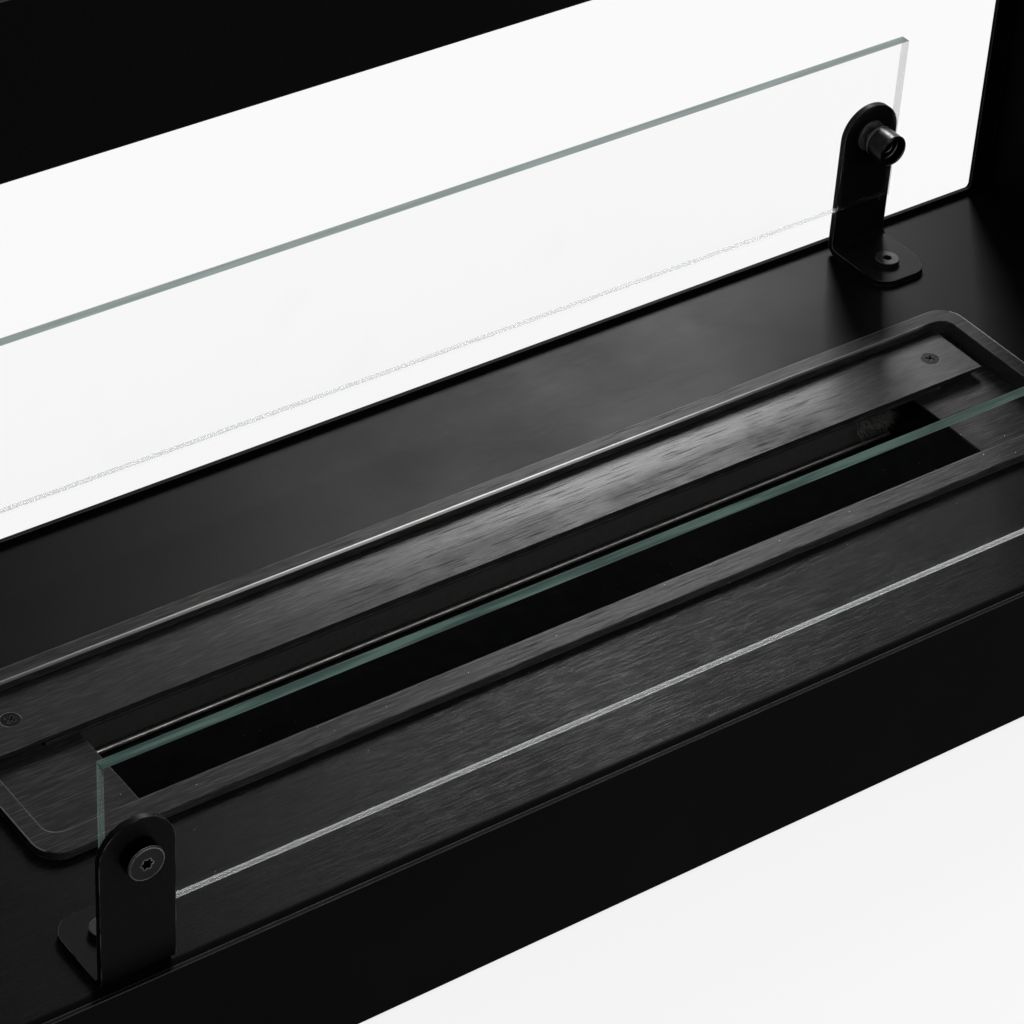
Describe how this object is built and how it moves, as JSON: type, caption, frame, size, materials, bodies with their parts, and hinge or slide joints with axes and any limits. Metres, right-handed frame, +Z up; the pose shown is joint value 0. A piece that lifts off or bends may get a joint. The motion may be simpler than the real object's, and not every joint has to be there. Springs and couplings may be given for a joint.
{
  "type": "bioethanol fireplace",
  "caption": "Free-standing black steel fireplace, open at front and rear, with a drop-in slot burner between two low glass screens on brackets.",
  "frame": {"origin": "on the floor, under the middle of the body", "axes": "+X along the window, to the right seen from the front; +Y to the rear; +Z up"},
  "size_m": [0.8, 0.269, 0.515],
  "materials": {
    "shell_black": "matte",
    "hearth_black": "matte",
    "bracket_black": "satin",
    "burner_black": "satin",
    "tank_steel": "brushed",
    "zinc_sheet": "satin",
    "zinc_nut": "satin",
    "clamp_grey": "satin",
    "screw_black": "satin",
    "cover_screw": "satin",
    "clear_glass": "clear",
    "rubber": "matte",
    "gasket": "matte",
    "fibre": "matte"
  },
  "bodies": {
    "shell": {"front_face": "shell_black", "rear_face": "shell_black", "left_side_panel": "shell_black", "right_side_panel": "shell_black", "top_panel": "shell_black", "base_panel": "shell_black", "left_cheek": "shell_black", "right_cheek": "shell_black", "ceiling_panel": "shell_black", "hearth_plate": "hearth_black", "front_hearth_rail": "zinc_sheet", "rear_hearth_rail": "zinc_sheet", "rubber_feet": "rubber", "face_nuts": "zinc_nut", "front_left_bracket": "bracket_black", "front_right_bracket": "bracket_black", "rear_left_bracket": "bracket_black", "rear_right_bracket": "bracket_black", "bracket_screws": "screw_black", "bracket_nuts": "zinc_nut", "front_glass": "clear_glass", "rear_glass": "clear_glass", "front_clamp_screws": "clamp_grey", "rear_clamp_screws": "clamp_grey", "low_nuts": "clamp_grey", "barrel_nuts": "clamp_grey", "outer_gaskets": "gasket", "inner_gaskets": "gasket"},
    "burner": {"burner_rim": "burner_black", "burner_deck": "burner_black", "cover_plate": "burner_black", "cover_spacers": "zinc_nut", "cover_screws": "cover_screw", "cover_nuts": "zinc_nut", "tank_trough": "tank_steel", "tank_ends": "tank_steel", "fibre_tray": "tank_steel", "fibre_strip": "fibre"},
    "damper": {"damper_slide": "burner_black"}
  },
  "joints": [
    {"name": "burner_lift", "type": "slide", "parent": "shell", "child": "burner", "axis": [0, 0, 1], "range_m": [0, 0.09]},
    {"name": "damper_shift", "type": "slide", "parent": "burner", "child": "damper", "axis": [0, -1, 0], "range_m": [0, 0.03]}
  ]
}
